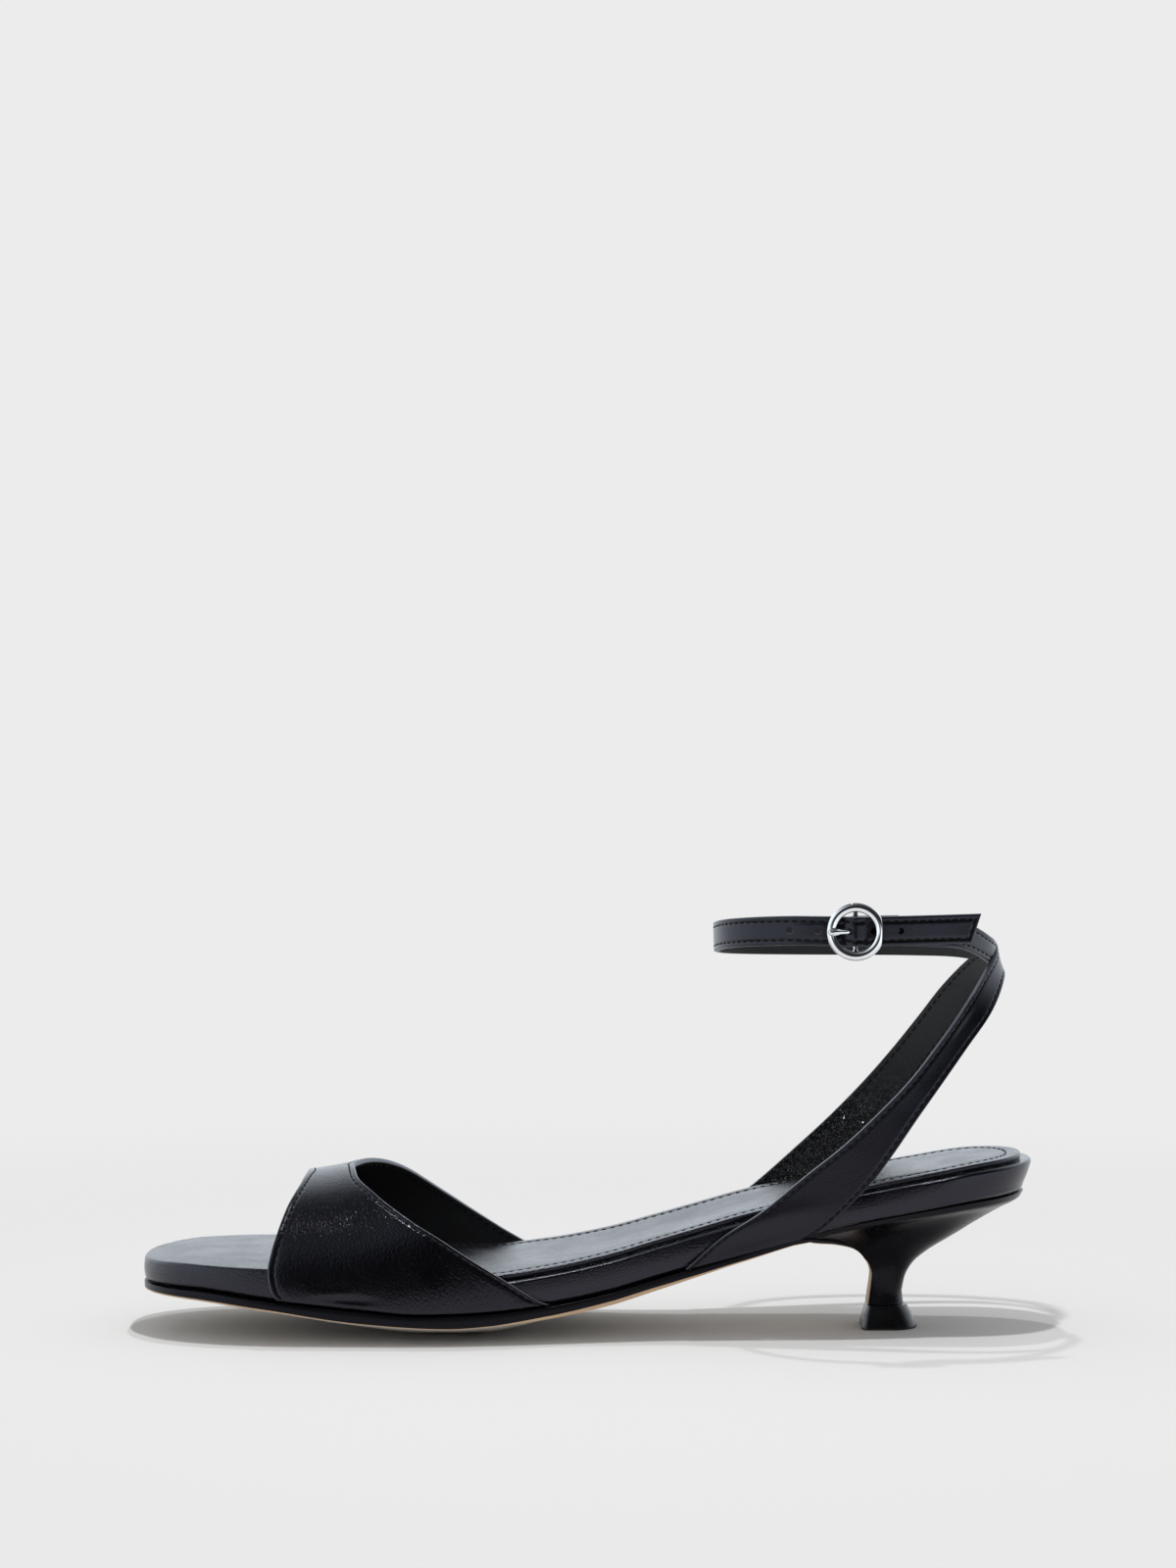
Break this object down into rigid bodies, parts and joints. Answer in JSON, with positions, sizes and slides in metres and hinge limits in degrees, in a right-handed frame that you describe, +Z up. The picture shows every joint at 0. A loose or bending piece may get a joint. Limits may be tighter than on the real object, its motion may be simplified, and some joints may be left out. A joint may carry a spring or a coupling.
{
  "type": "kitten-heel sandal",
  "caption": "Black leather kitten-heel sandal: open vamp band over the forefoot, straps that cross behind the ankle and fasten with a round buckle, low waisted heel.",
  "frame": {"origin": "on the floor, under the middle of the shoe's length and width", "axes": "+X from toe to heel, +Y towards the inner side of the foot, +Z up"},
  "size_m": [0.245, 0.0786, 0.1196],
  "materials": {
    "sole_leather": "tan sole leather with a black painted edge",
    "footbed_leather": "smooth black leather stretched over the insole board, satin",
    "sock_leather": "smooth black lining leather, stitched near its edge",
    "heel_leather": "black leather cover, fine grain, satin",
    "heel_tip": "hard black top piece",
    "upper_leather": "black nappa leather, fine grain, satin, stitched edges",
    "buckle_steel": "polished"
  },
  "bodies": {
    "root": {"outsole": "sole_leather", "footbed": "footbed_leather", "insole": "sock_leather", "heel": "heel_leather", "heel_tip": "heel_tip", "vamp": "upper_leather", "ankle_straps": "upper_leather", "buckle_frame": "buckle_steel", "buckle_prong": "buckle_steel"}
  },
  "joints": []
}
